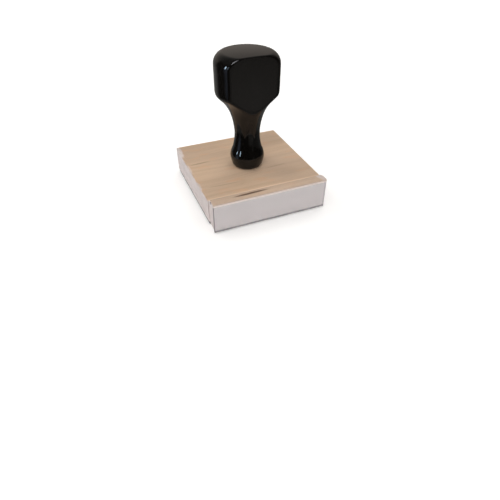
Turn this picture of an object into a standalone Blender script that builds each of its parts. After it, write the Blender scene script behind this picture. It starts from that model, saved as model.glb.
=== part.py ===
"""A traditional hand stamp: turned handle on a wood mount, foam cushion and rubber die.

Units are metres in Blender and millimetres in the named values below (see MM).
Frame: +Z up, -Y is the front with the index card, +X is to the right of a
person facing the front. The origin is under the middle of the stamp, on the
printing plane that the raised rubber stands on.
"""
import math

import bmesh
import bpy
from mathutils import Vector

MM = 0.001

# ---- clearances --------------------------------------------------------------
GAP = 0.3                   # between pieces that touch on the real stamp
FILM_GAP = 0.1              # between the bonded layers, which are thinner than GAP
TURN_GAP = 0.15             # radial running clearance of the screw thread

# ---- overall plan ------------------------------------------------------------
WIDTH = 76.6                # rail and block together, along X
DEPTH = 81.0                # film on the front to the back of the block, along Y
FRONT_Y = -DEPTH / 2
BACK_Y = DEPTH / 2
LEFT_X = -WIDTH / 2
RIGHT_X = WIDTH / 2

# ---- rubber die --------------------------------------------------------------
DIE_THICK = 1.7
RELIEF = 0.8                # height of the raised print above the floor of the die
DIE_INSET = 0.4             # die stands back from the edges of the block
FRAME_INSET = 0.2           # raised frame stands back from the edge of the die
FRAME_LINE = 2.2            # width of the raised frame line
BAR_WIDTH = 3.4             # plain raised bars inside the frame
BAR_LENGTHS = (40.0, 52.0, 46.0, 30.0)
BAR_PITCH = 11.5
ROOT = 0.3                  # how far raised rubber is rooted in the base

# ---- cushion and films -------------------------------------------------------
FILM = 0.2                  # double-sided adhesive film
FILM_INSET = 0.4
STACK = 5.6                 # printing plane to underside of the wood

# ---- wood mount --------------------------------------------------------------
BLOCK_WIDTH = 76.2
BLOCK_TOP = 18.5
EDGE = 0.4                  # eased arrises of the wood

# ---- front rail --------------------------------------------------------------
RAIL_LENGTH = 75.8
RAIL_DEPTH = 8.5
RAIL_BOTTOM = 0.7
RAIL_BACK_TOP = 18.4        # height of the rail where it meets the block
RAIL_CREST = 20.2           # highest line of the rounded top
RAIL_CREST_IN = 2.8         # crest line stands this far behind the rail's face
RAIL_ARC_POINTS = 9

# ---- index card and its clear film -------------------------------------------
CARD_THICK = 0.9
CARD_LEFT = 0.5             # card stands out past the rail's left end
CARD_RIGHT = 0.8            # card stops short of the rail's right end
CARD_BOTTOM = 0.7
CARD_TOP = 19.4
COVER_THICK = 0.2
COVER_MARGIN = 0.3          # clear film stands back from the card's edges

# ---- screw joint of the handle -----------------------------------------------
HANDLE_X = 0.6
HANDLE_Y = 2.0
PITCH = 1.27                # 1/4-20 thread
STUD_RADIUS = 3.175
STUD_UP = 13.2              # stud above the wood
STUD_TIP = 0.6              # chamfer at both ends of the stud
WOOD_SCREW = 11.4           # wood thread below the top of the block
SCREW_RADIUS = 3.0
COLLAR_RADIUS = 3.6         # plain stop between the two threads
COLLAR_DEEP = 2.0
PILOT_DEEP = 12.0           # pilot hole in the block
INSERT_RADIUS = 4.15
INSERT_LENGTH = 12.6
INSERT_RECESS = 0.4         # insert is set up into the foot by this much
GROOVE_DEEP = 0.45          # groove round the insert's middle
GROOVE_HALF = 1.0           # half its width at the surface
GROOVE_FLOOR = 0.7          # half its width at the bottom
BLIND_HOLE = 16.0           # hole in the handle, deeper than the insert
DRILL_CONE = 1.5            # drill point at the end of that hole
DRILL_TIP = 1.0             # radius of the point's blunt end
OVERCUT = 1.0               # cutters run past open ends by this much

# ---- handle: radii of the turning at heights above its foot ------------------
TURNING = (
    (0.0, 9.1), (0.35, 9.75), (1.3, 10.2), (3.9, 10.85), (6.9, 11.2),
    (9.5, 10.65), (12.5, 9.5), (15.7, 8.75), (19.2, 8.25), (23.2, 8.15),
    (27.7, 8.65), (31.7, 9.5), (35.7, 10.8), (39.2, 12.5), (42.2, 14.6),
    (44.7, 16.9), (46.4, 18.6), (47.4, 19.25), (48.6, 19.5), (57.7, 19.6),
)
TOP_HEIGHT = 70.6           # where the round shoulder of the grip meets the top
TOP_ROUND = 6.3             # radius of that shoulder
TOP_CROWN = 0.4             # the top rises by this much to its middle
TOP_ARC_POINTS = 9
TURNING_STEPS = 48          # facets round the handle
FLAT_Y = 11.85              # front flat of the grip, from the handle's axis
FLAT_EDGE = 0.8             # easing along the edges of the flat

COLLECTION = "hand_stamp"
CUTTERS = "cutters"


def clear_scene():
    """Start from nothing, whatever file this runs in."""
    for obj in list(bpy.data.objects):
        bpy.data.objects.remove(obj, do_unlink=True)


def make_collection(name):
    """A fresh collection linked to the scene."""
    old = bpy.data.collections.get(name)
    if old:
        bpy.data.collections.remove(old)
    made = bpy.data.collections.new(name)
    bpy.context.scene.collection.children.link(made)
    return made


def material(name, color, roughness, metallic=0.0):
    """A plain Principled material."""
    made = bpy.data.materials.new(name)
    made.use_nodes = True
    shader = made.node_tree.nodes["Principled BSDF"]
    shader.inputs["Base Color"].default_value = (*color, 1.0)
    shader.inputs["Roughness"].default_value = roughness
    shader.inputs["Metallic"].default_value = metallic
    return made


def add_object(name, mesh, home, finish=None):
    """Link a mesh to a collection under a name, with its material."""
    obj = bpy.data.objects.new(name, mesh)
    home.objects.link(obj)
    if finish:
        mesh.materials.append(finish)
    return obj


def box_mesh(name, low, high):
    """A box between two corners given in millimetres."""
    mesh = bpy.data.meshes.new(name)
    bm = bmesh.new()
    bmesh.ops.create_cube(bm, size=1.0)
    low, high = Vector(low), Vector(high)
    for vert in bm.verts:
        for axis in range(3):
            vert.co[axis] = (low[axis] if vert.co[axis] < 0 else high[axis]) * MM
    bm.to_mesh(mesh)
    bm.free()
    return mesh


def turned_mesh(name, profile, steps, center=(0.0, 0.0)):
    """A solid of revolution about Z from (height, radius) pairs, foot first."""
    mesh = bpy.data.meshes.new(name)
    bm = bmesh.new()
    top_down = [(height, radius) for height, radius in reversed(profile)]
    verts = [bm.verts.new((radius * MM, 0.0, height * MM)) for height, radius in top_down]
    edges = [bm.edges.new(pair) for pair in zip(verts, verts[1:])]
    bmesh.ops.spin(
        bm, geom=verts + edges, cent=(0, 0, 0), axis=(0, 0, 1),
        angle=2 * math.pi, steps=steps, use_duplicate=False,
    )
    bmesh.ops.remove_doubles(bm, verts=bm.verts, dist=1e-6)
    bmesh.ops.holes_fill(bm, edges=[e for e in bm.edges if e.is_boundary], sides=0)
    bmesh.ops.recalc_face_normals(bm, faces=bm.faces)
    bmesh.ops.translate(bm, verts=bm.verts, vec=(center[0] * MM, center[1] * MM, 0.0))
    bm.to_mesh(mesh)
    bm.free()
    return mesh


def shade(obj, angle=35.0):
    """Smooth shading with sharp arrises kept."""
    obj.data.shade_smooth()
    obj.data.set_sharp_from_angle(angle=math.radians(angle))


def ease(obj, width, segments=2):
    """Round the arrises of a piece."""
    bevel = obj.modifiers.new("eased arrises", "BEVEL")
    bevel.width = width * MM
    bevel.segments = segments
    bevel.limit_method = "ANGLE"
    bevel.angle_limit = math.radians(40)
    bevel.harden_normals = False
    return bevel


def boolean(obj, cutter, operation="DIFFERENCE"):
    """Cut or join with another mesh, by the exact solver."""
    modifier = obj.modifiers.new(f"{operation.lower()} {cutter.name}", "BOOLEAN")
    modifier.object = cutter
    modifier.operation = operation
    modifier.solver = "EXACT"
    return modifier


def hide_cutter(obj):
    """A cutter is a guide, so it isn't drawn or built."""
    obj.hide_render = True
    obj.display_type = "WIRE"
    return obj


def block_x():
    """Left and right faces of the wood block."""
    return LEFT_X, LEFT_X + BLOCK_WIDTH


def block_y():
    """Front and back faces of the wood block."""
    cover = COVER_THICK + FILM_GAP + CARD_THICK + FILM_GAP
    return FRONT_Y + cover + RAIL_DEPTH + GAP, BACK_Y


def rail_x():
    """Left and right ends of the front rail, which is set over to the right."""
    return RIGHT_X - RAIL_LENGTH, RIGHT_X


def rail_y():
    """Front and back faces of the front rail."""
    front = FRONT_Y + COVER_THICK + FILM_GAP + CARD_THICK + FILM_GAP
    return front, front + RAIL_DEPTH


def make_rubber_die(parts, cutters):
    """Engraved rubber: a base sheet with a raised plain frame and plain bars."""
    (left, right), (front, back) = block_x(), block_y()
    left, right = left + DIE_INSET, right - DIE_INSET
    front, back = front + DIE_INSET, back - DIE_INSET
    finish = material("die_rubber", (0.10, 0.10, 0.11), 0.7)
    die = add_object(
        "rubber_die",
        box_mesh("rubber_die", (left, front, RELIEF), (right, back, DIE_THICK)),
        parts, finish,
    )

    def rectangle(name, x0, x1, y0, y1, low=0.0):
        mesh = box_mesh(name, (x0, y0, low), (x1, y1, RELIEF + ROOT))
        return hide_cutter(add_object(name, mesh, cutters))

    inner_left, inner_right = left + FRAME_INSET, right - FRAME_INSET
    inner_front, inner_back = front + FRAME_INSET, back - FRAME_INSET
    frame = rectangle("frame", inner_left, inner_right, inner_front, inner_back)
    window = add_object(
        "frame_window",
        box_mesh(
            "frame_window",
            (inner_left + FRAME_LINE, inner_front + FRAME_LINE, -OVERCUT),
            (inner_right - FRAME_LINE, inner_back - FRAME_LINE, RELIEF + 2 * ROOT),
        ),
        cutters,
    )
    boolean(frame, hide_cutter(window))
    boolean(die, frame, "UNION")

    middle_x, middle_y = (left + right) / 2, (front + back) / 2
    first_y = middle_y + BAR_PITCH * (len(BAR_LENGTHS) - 1) / 2
    for number, length in enumerate(BAR_LENGTHS, 1):
        y = first_y - BAR_PITCH * (number - 1)
        bar = rectangle(
            f"bar_{number}", middle_x - length / 2, middle_x + length / 2,
            y - BAR_WIDTH / 2, y + BAR_WIDTH / 2,
        )
        boolean(die, bar, "UNION")
    return die


def make_layers(parts):
    """Die film, foam cushion and mount film, from the die up to the wood."""
    (left, right), (front, back) = block_x(), block_y()
    film_finish = material("adhesive_film", (0.82, 0.80, 0.70), 0.4)
    foam_finish = material("white_foam", (0.85, 0.84, 0.82), 0.9)
    low_film = DIE_THICK + FILM_GAP
    high_film = STACK - FILM_GAP - FILM

    def film(name, low, inset):
        mesh = box_mesh(
            name, (left + inset, front + inset, low),
            (right - inset, back - inset, low + FILM),
        )
        return add_object(name, mesh, parts, film_finish)

    film("die_film", low_film, DIE_INSET + FILM_INSET)
    film("mount_film", high_film, FILM_INSET)
    cushion = add_object(
        "foam_cushion",
        box_mesh(
            "foam_cushion", (left, front, low_film + FILM + FILM_GAP),
            (right, back, high_film - FILM_GAP),
        ),
        parts, foam_finish,
    )
    return cushion


def make_mount_block(parts, cutters):
    """Maple block with the pilot hole for the screw."""
    (left, right), (front, back) = block_x(), block_y()
    finish = material("maple", (0.52, 0.36, 0.24), 0.6)
    block = add_object(
        "mount_block",
        box_mesh("mount_block", (left, front, STACK), (right, back, BLOCK_TOP)),
        parts, finish,
    )
    ease(block, EDGE)
    pilot = (
        (BLOCK_TOP - PILOT_DEEP, SCREW_RADIUS + GAP),
        (BLOCK_TOP - COLLAR_DEEP - GAP, SCREW_RADIUS + GAP),
        (BLOCK_TOP - COLLAR_DEEP - GAP, COLLAR_RADIUS + GAP),
        (BLOCK_TOP + OVERCUT, COLLAR_RADIUS + GAP),
    )
    drill = add_object(
        "pilot_drill", turned_mesh("pilot_drill", pilot, 32, (HANDLE_X, HANDLE_Y)), cutters,
    )
    boolean(block, hide_cutter(drill))
    return block


def rail_outline():
    """Section of the rail in Y and Z: upright faces and one arc over the top."""
    front, back = rail_y()
    crest_y = front + RAIL_CREST_IN
    reach, drop = back - crest_y, RAIL_CREST - RAIL_BACK_TOP
    radius = (reach ** 2 + drop ** 2) / (2 * drop)
    start = math.asin((back - crest_y) / radius)
    end = math.asin((front - crest_y) / radius)
    outline = [(front, RAIL_BOTTOM), (back, RAIL_BOTTOM)]
    for step in range(RAIL_ARC_POINTS):
        turn = start + (end - start) * step / (RAIL_ARC_POINTS - 1)
        y = crest_y + radius * math.sin(turn)
        z = RAIL_CREST - radius * (1 - math.cos(turn))
        outline.append((y, z))
    return outline


def make_front_rail(parts):
    """Maple strip glued along the front, with a rounded top."""
    left, right = rail_x()
    curve = bpy.data.curves.new("front_rail", "CURVE")
    curve.dimensions = "2D"
    curve.fill_mode = "BOTH"
    curve.extrude = (right - left) / 2 * MM
    spline = curve.splines.new("POLY")
    outline = rail_outline()
    spline.points.add(len(outline) - 1)
    for point, (y, z) in zip(spline.points, outline):
        point.co = (y * MM, z * MM, 0.0, 1.0)
    spline.use_cyclic_u = True
    rail = bpy.data.objects.new("front_rail", curve)
    parts.objects.link(rail)
    rail.location.x = (left + right) / 2 * MM
    rail.rotation_euler = (math.pi / 2, 0.0, math.pi / 2)
    curve.materials.append(material("maple_rail", (0.50, 0.35, 0.23), 0.6))
    return rail


def make_index_pieces(parts):
    """White card on the rail's face and the clear film over it."""
    left = rail_x()[0] - CARD_LEFT
    right = rail_x()[1] - CARD_RIGHT
    card_front = FRONT_Y + COVER_THICK + FILM_GAP
    card = add_object(
        "index_card",
        box_mesh(
            "index_card", (left, card_front, CARD_BOTTOM),
            (right, card_front + CARD_THICK, CARD_TOP),
        ),
        parts, material("white_card", (0.80, 0.78, 0.78), 0.5),
    )
    cover = add_object(
        "index_cover_film",
        box_mesh(
            "index_cover_film", (left + COVER_MARGIN, FRONT_Y, CARD_BOTTOM + COVER_MARGIN),
            (right - COVER_MARGIN, FRONT_Y + COVER_THICK, CARD_TOP - COVER_MARGIN),
        ),
        parts, material("clear_film", (0.90, 0.90, 0.92), 0.15),
    )
    return card, cover


def make_stud(parts):
    """Hanger bolt: wood screw below, plain collar, machine screw above."""
    bottom = BLOCK_TOP - WOOD_SCREW
    collar = BLOCK_TOP - COLLAR_DEEP
    top = BLOCK_TOP + STUD_UP
    profile = (
        (bottom, STUD_TIP),
        (bottom + 3 * STUD_TIP, SCREW_RADIUS),
        (collar, SCREW_RADIUS),
        (collar, COLLAR_RADIUS),
        (BLOCK_TOP - GAP, COLLAR_RADIUS),
        (BLOCK_TOP - GAP, STUD_RADIUS),
        (top - STUD_TIP, STUD_RADIUS),
        (top, STUD_RADIUS - STUD_TIP),
    )
    stud = add_object(
        "hanger_bolt",
        turned_mesh("hanger_bolt", profile, 32, (HANDLE_X, HANDLE_Y)),
        parts, material("zinc_steel", (0.62, 0.62, 0.60), 0.35, 1.0),
    )
    shade(stud)
    return stud


def make_insert(parts, cutters):
    """Threaded brass insert moulded into the handle's foot."""
    foot = BLOCK_TOP + GAP
    bottom = foot + INSERT_RECESS
    top = bottom + INSERT_LENGTH
    groove = INSERT_RADIUS - GROOVE_DEEP
    middle = (bottom + top) / 2
    outside = (
        (bottom, INSERT_RADIUS), (middle - GROOVE_HALF, INSERT_RADIUS),
        (middle - GROOVE_FLOOR, groove), (middle + GROOVE_FLOOR, groove),
        (middle + GROOVE_HALF, INSERT_RADIUS), (top, INSERT_RADIUS),
    )
    finish = material("brass", (0.72, 0.52, 0.22), 0.35, 1.0)
    insert = add_object(
        "handle_insert", turned_mesh("handle_insert", outside, 32), parts, finish,
    )
    bore = (
        (bottom - OVERCUT, STUD_RADIUS + TURN_GAP),
        (top + OVERCUT, STUD_RADIUS + TURN_GAP),
    )
    tap = add_object("insert_bore", turned_mesh("insert_bore", bore, 32), cutters)
    for piece in (insert, hide_cutter(tap)):
        piece.location = (HANDLE_X * MM, HANDLE_Y * MM, 0.0)
    boolean(insert, tap)
    shade(insert)
    return insert


def turning():
    """Outline of the handle: foot, waist and drum, round shoulder, crowned top."""
    drum = TURNING[-1][1]
    outline = list(TURNING)
    for step in range(TOP_ARC_POINTS):
        turn = math.pi / 2 * step / (TOP_ARC_POINTS - 1)
        height = TOP_HEIGHT - TOP_ROUND * (1 - math.sin(turn))
        outline.append((height, drum - TOP_ROUND * (1 - math.cos(turn))))
    inner = drum - TOP_ROUND
    for share in (0.66, 0.33, 0.0):
        outline.append((TOP_HEIGHT + TOP_CROWN * (1 - share ** 2), inner * share))
    return outline


def make_handle(parts, cutters):
    """Turned handle with one flat on the front of the grip and a blind hole."""
    foot = BLOCK_TOP + GAP
    profile = [(foot + height, radius) for height, radius in turning()]
    handle = add_object(
        "handle", turned_mesh("handle", profile, TURNING_STEPS),
        parts, material("black_plastic", (0.012, 0.011, 0.010), 0.15),
    )
    widest = TURNING[-1][1]
    shaving = add_object(
        "flat_shaving",
        box_mesh(
            "flat_shaving", (-2 * widest, -2 * widest, foot + BLIND_HOLE),
            (2 * widest, -FLAT_Y, foot + 2 * TOP_HEIGHT),
        ),
        cutters,
    )
    hole = (
        (foot - OVERCUT, INSERT_RADIUS + GAP),
        (foot + BLIND_HOLE, INSERT_RADIUS + GAP),
        (foot + BLIND_HOLE + DRILL_CONE, DRILL_TIP),
    )
    drill = add_object("handle_drill", turned_mesh("handle_drill", hole, 32), cutters)
    for piece in (handle, hide_cutter(shaving), hide_cutter(drill)):
        piece.location = (HANDLE_X * MM, HANDLE_Y * MM, 0.0)
    boolean(handle, shaving)
    ease(handle, FLAT_EDGE)
    boolean(handle, drill)
    shade(handle)
    return handle


def main():
    clear_scene()
    parts = make_collection(COLLECTION)
    cutters = make_collection(CUTTERS)
    make_rubber_die(parts, cutters)
    make_layers(parts)
    make_mount_block(parts, cutters)
    make_front_rail(parts)
    make_index_pieces(parts)
    make_stud(parts)
    make_insert(parts, cutters)
    make_handle(parts, cutters)
    bpy.context.view_layer.update()


main()
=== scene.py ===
"""The looks of a wood-mounted hand stamp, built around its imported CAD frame.

Lengths in this script are in millimetres and are turned into metres where a
mesh is made, unless a comment says otherwise. Every piece takes its place from
the CAD node that it stands for.
"""
import math

import bmesh
import bpy
import numpy as np
from mathutils import Euler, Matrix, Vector, noise


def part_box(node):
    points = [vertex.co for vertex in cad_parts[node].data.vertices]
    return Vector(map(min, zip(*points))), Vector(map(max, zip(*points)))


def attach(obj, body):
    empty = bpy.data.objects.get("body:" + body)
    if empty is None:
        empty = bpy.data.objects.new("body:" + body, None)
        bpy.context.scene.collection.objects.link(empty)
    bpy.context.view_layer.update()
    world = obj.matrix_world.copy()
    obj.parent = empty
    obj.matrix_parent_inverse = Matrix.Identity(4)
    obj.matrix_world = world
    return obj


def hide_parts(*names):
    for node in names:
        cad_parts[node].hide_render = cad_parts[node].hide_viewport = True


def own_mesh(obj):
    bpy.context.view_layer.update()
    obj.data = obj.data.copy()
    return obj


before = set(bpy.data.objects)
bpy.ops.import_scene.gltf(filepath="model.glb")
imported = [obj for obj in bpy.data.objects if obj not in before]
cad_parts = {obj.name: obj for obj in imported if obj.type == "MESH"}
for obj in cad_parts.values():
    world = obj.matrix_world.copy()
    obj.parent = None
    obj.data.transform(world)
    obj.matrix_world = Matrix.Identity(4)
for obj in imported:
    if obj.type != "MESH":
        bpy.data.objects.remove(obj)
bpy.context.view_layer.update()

MM = 0.001
noise.seed_set(7)           # the unevenness is the same each run

# ---- camera: where the photographer stood ------------------------------------
CAMERA_PLACE = (-94.8, -232.7, 161.7)
CAMERA_YAW = 22.57          # degrees to the right of straight ahead
CAMERA_PITCH = 41.20        # degrees below the horizon
CAMERA_ROLL = 0.12
CAMERA_LENS = 30.34         # on a 36 mm sensor

# ---- handle ------------------------------------------------------------------
TURNING = (                 # height above the foot and radius, foot to drum
    (0.0, 9.0), (0.35, 9.7), (1.3, 10.2), (3.9, 10.85), (6.9, 11.2),
    (9.5, 10.65), (12.5, 9.5), (15.7, 8.75), (19.2, 8.25), (23.2, 8.15),
    (27.7, 8.65), (31.7, 9.5), (35.7, 10.8), (39.2, 12.5), (42.2, 14.6),
    (44.7, 16.9), (46.4, 18.6), (47.4, 19.25), (48.6, 19.5), (57.7, 19.6),
)
TOP_HEIGHT = 70.6           # where the round shoulder meets the crowned top
TOP_ROUND = 6.3
TOP_CROWN = 0.4
FRONT_SHARE = 0.05          # cosine past which an angle no longer meets the flat
PROFILE_STEP = 0.7          # spacing of the rings along the turning's outline
AROUND = 224                # points round the handle
FLAT_DEPTH = 11.85          # front flat of the grip, from the axis
FLAT_FILLET = 0.8           # rounding where the flat meets the turning
FOOT_RECESS = 0.35          # shallow hollow of the foot, inside its rim
FOOT_RIM = 7.6
AXIS_HOLE = 0.02            # the turning's ends close to this radius

# ---- screw thread ------------------------------------------------------------
PITCH = 1.27
STUD_RADIUS = 3.175         # crests of the machine thread
SCREW_RADIUS = 2.95         # crests of the wood thread
SCREW_DEPTH = 0.75
SCREW_STRETCH = 0.6         # the wood thread is this much coarser
COLLAR_RADIUS = 3.5
THREAD_DEPTH = 0.62
THREAD_GAP = 0.16           # between the stud's crests and the insert's
THREAD_ROWS = 10            # rows of points along one pitch
THREAD_STEPS = 40

# ---- wood --------------------------------------------------------------------
BLOCK_EDGE = 0.3
BLOCK_CORNER = 0.45
RAIL_EASE = 0.25
GLUE_GAP = 0.27             # the glue line behind the rail, filled in the visual
RAIL_BACK_TOP = 18.4        # height of the rail where it meets the block
RAIL_CREST_IN = 2.8         # the crest line stands this far behind the rail's face
RAIL_ARC_STEPS = 14
PIN_PLACE = (-34.1, 18.5)   # Y and Z of the pin hole in the rail's left end
PIN_POINTS = 16
PILOT_MOUTH = 4.0           # the pilot hole is wider at the top, for the bolt's collar
PILOT_RADIUS = 3.3
PILOT_POINTS = 48
WOOD_STEP = 2.0             # spacing of the points along long edges
EDGE_SEGMENTS = 5
SHADE_ANGLE = 32.0          # arrises sharper than this stay crisp
UNEVEN_GRAIN = 5.0          # size of the waves in sanded and cut sides

# ---- layers under the wood -----------------------------------------------------
SHEET_STEP = 3.0            # spacing of the points along a film's or card's edges
FOAM_CROWN = 0.14           # the foam's sides pull in by this much at top and bottom
DIE_FLOOR = 0.8             # height of the engraved floor above the printing plane
DIE_ROOT = 1.05             # the raised rubber reaches up into the base to here
RUBBER_EDGE = 0.12          # easing of the rubber's arrises
FRAME_INSET = 0.2
FRAME_LINE = 2.2
BAR_HALF = 1.7              # half the width of a raised bar
BAR_PITCH = 11.5
BAR_LENGTHS = (40.0, 52.0, 46.0, 30.0)
RASTER_PITCH = 0.16         # lines left on the floor by the engraving
WAVE_PERIOD = 20            # a wave texture at scale 1 repeats this often in a unit

# ---- light -------------------------------------------------------------------
# Places and sizes of the lamps are in metres.
LAMPS = (                   # azimuth and elevation in degrees, and power in watts
    (-50, 48, 5.9), (45, 50, 5.0), (140, 50, 4.2), (-135, 52, 5.2),
)
LAMP_DISTANCE = 1.3
LAMP_SIZE = (0.9, 0.9)
LAMP_COLOR = (1.0, 0.985, 0.96)
AIM = (0.0, 0.0, 0.03)      # every lamp points here
FLOOR_SIZE = 8.0
PANES = ((-0.9, 0.126, 0.26), (-0.9, -0.29, 0.26))
PANE_SIZE = (0.08, 0.32)
PANE_COLOR = (0.62, 0.82, 1.0)
WINDOW_POWER = 1.9          # each pane
SKYLIGHT_PLACE = (-0.20, -0.95, 0.86)
SKYLIGHT_SIZE = (0.6, 0.6)
SKYLIGHT_COLOR = (0.95, 0.95, 1.0)
SKYLIGHT_POWER = 12.0       # a thin glint along the top left of the grip's flat
PALE = (0.93, 0.93, 0.93, 1.0)      # what the camera sees past the floor
SURROUND = (                # sine of the elevation, and radiance there
    (-1.0, (0.25, 0.25, 0.24)), (-0.05, (0.27, 0.265, 0.25)),
    (0.10, (0.41, 0.365, 0.325)), (0.30, (0.41, 0.363, 0.325)),
    (0.65, (0.17, 0.17, 0.165)), (1.0, (0.12, 0.12, 0.12)),
)
LEFT = (-0.966, -0.259, 0.0)        # the surround is dim this way
RIGHT = (0.99, -0.14, 0.0)          # less so this way
FRONT = (0.30, -0.954, 0.0)         # and above the horizon this way
GLOW = (                    # direction, half size and radiance of soft patches
    ((-0.97, 0.03, -0.12), (0.5, 0.30, 0.42), (0.52, 0.64, 0.88)),
    ((0.36, -0.93, -0.03), (0.10, 0.5, 0.15), (0.30, 0.30, 0.29)),
    ((0.37, -0.87, -0.37), (0.18, 0.4, 0.13), (0.26, 0.24, 0.22)),
)


# ==============================================================================
# Meshes
# ==============================================================================
def node_box(node):
    """Lowest and highest corner of a CAD node, in millimetres."""
    low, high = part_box(node)
    return np.array(low) / MM, np.array(high) / MM


AXIS_X, AXIS_Y = (sum(node_box("hanger_bolt")) / 2)[:2]     # the handle turns on its bolt


def smooth_curve(points, spacing):
    """A centripetal Catmull-Rom curve through 2D points, resampled evenly."""
    points = np.array(points, float)
    first, last = 2 * points[0] - points[1], 2 * points[-1] - points[-2]
    knots = np.vstack([first, points, last])
    fine = []
    for p0, p1, p2, p3 in zip(knots, knots[1:], knots[2:], knots[3:]):
        t0 = 0.0
        t1 = t0 + math.sqrt(np.linalg.norm(p1 - p0))
        t2 = t1 + math.sqrt(np.linalg.norm(p2 - p1))
        t3 = t2 + math.sqrt(np.linalg.norm(p3 - p2))
        t = np.linspace(t1, t2, 24, endpoint=False)[:, None]
        a1 = (t1 - t) / (t1 - t0) * p0 + (t - t0) / (t1 - t0) * p1
        a2 = (t2 - t) / (t2 - t1) * p1 + (t - t1) / (t2 - t1) * p2
        a3 = (t3 - t) / (t3 - t2) * p2 + (t - t2) / (t3 - t2) * p3
        b1 = (t2 - t) / (t2 - t0) * a1 + (t - t0) / (t2 - t0) * a2
        b2 = (t3 - t) / (t3 - t1) * a2 + (t - t1) / (t3 - t1) * a3
        fine.append((t2 - t) / (t2 - t1) * b1 + (t - t1) / (t2 - t1) * b2)
    fine = np.vstack(fine + [points[-1:]])
    along = np.concatenate([[0], np.cumsum(np.linalg.norm(np.diff(fine, axis=0), axis=1))])
    count = max(2, round(along[-1] / spacing)) + 1
    even = np.linspace(0, along[-1], count)
    return np.stack([np.interp(even, along, fine[:, k]) for k in (0, 1)], axis=1)


def grid_object(name, rings, close_rings=False, shade_angle=SHADE_ANGLE):
    """A mesh from rings of points (ring, point, xyz) in millimetres, closed around."""
    rings = np.array(rings, float)
    count, around = rings.shape[:2]
    faces = []
    for i in range(count if close_rings else count - 1):
        here, there = i * around, ((i + 1) % count) * around
        for j in range(around):
            k = (j + 1) % around
            faces.append((here + j, here + k, there + k, there + j))
    if not close_rings:
        faces.append(tuple(range(around))[::-1])
        faces.append(tuple(range((count - 1) * around, count * around)))
    mesh = bpy.data.meshes.new(name)
    mesh.from_pydata((rings.reshape(-1, 3) * MM).tolist(), [], faces)
    bm = bmesh.new()
    bm.from_mesh(mesh)
    bmesh.ops.remove_doubles(bm, verts=bm.verts, dist=1e-7)
    bmesh.ops.recalc_face_normals(bm, faces=bm.faces)
    bm.to_mesh(mesh)
    bm.free()
    obj = bpy.data.objects.new(name, mesh)
    bpy.context.scene.collection.objects.link(obj)
    shade(obj, shade_angle)
    return obj


def shade(obj, angle=SHADE_ANGLE):
    """Smooth shading with sharp arrises kept."""
    obj.data.shade_smooth()
    obj.data.set_sharp_from_angle(angle=math.radians(angle))


def join_solids(obj, other, operation):
    """Cuts or joins by the exact Boolean, applied, and removes the other solid."""
    modifier = obj.modifiers.new(operation, "BOOLEAN")
    modifier.object, modifier.operation, modifier.solver = other, operation, "EXACT"
    evaluated = obj.evaluated_get(bpy.context.evaluated_depsgraph_get())
    mesh = bpy.data.meshes.new_from_object(evaluated)
    obj.modifiers.clear()
    obj.data = mesh
    bpy.data.objects.remove(other, do_unlink=True)


def rounded_rectangle(low, high, corner, step):
    """Counter-clockwise outline with round corners and points along the sides."""
    points = []
    turns = ((high, low, -90), (high, high, 0), (low, high, 90), (low, low, 180))
    for x_from, y_from, start in turns:
        center_x = x_from[0] - corner if x_from is high else x_from[0] + corner
        center_y = y_from[1] - corner if y_from is high else y_from[1] + corner
        for k in range(EDGE_SEGMENTS + 1):
            turn = math.radians(start + 90 * k / EDGE_SEGMENTS)
            points.append((center_x + corner * math.cos(turn), center_y + corner * math.sin(turn)))
    return fill_sides(points, step)


def fill_sides(points, step):
    """Adds evenly spaced points to the long sides of a closed outline."""
    filled = []
    for here, there in zip(points, points[1:] + points[:1]):
        here, there = np.array(here), np.array(there)
        pieces = max(1, round(float(np.linalg.norm(there - here)) / step))
        filled += [here + (there - here) * k / pieces for k in range(pieces)]
    return np.array(filled)


def fillet_outline(corners, step):
    """Counter-clockwise outline from (y, z, radius) corners; radius 0 keeps a point."""
    points = []
    count = len(corners)
    for k, (y, z, radius) in enumerate(corners):
        here = np.array((y, z), float)
        if radius == 0:
            points.append(here)
            continue
        to_last = np.array(corners[k - 1][:2]) - here
        to_next = np.array(corners[(k + 1) % count][:2]) - here
        to_last, to_next = to_last / np.linalg.norm(to_last), to_next / np.linalg.norm(to_next)
        half = math.acos(float(np.clip(to_last @ to_next, -1, 1))) / 2
        reach = radius / math.tan(half)
        for t in np.linspace(0, 1, EDGE_SEGMENTS + 1):
            start, end = here + to_last * reach, here + to_next * reach
            points.append((1 - t) ** 2 * start + 2 * t * (1 - t) * here + t ** 2 * end)
    return fill_sides([tuple(p) for p in points], step)


def inset_outline(outline, distance):
    """The outline moved inwards by a distance smaller than its corner radii."""
    tangent = np.roll(outline, -1, 0) - np.roll(outline, 1, 0)
    tangent /= np.linalg.norm(tangent, axis=1)[:, None]
    inward = np.stack([-tangent[:, 1], tangent[:, 0]], axis=1)
    return outline + inward * distance


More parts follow.
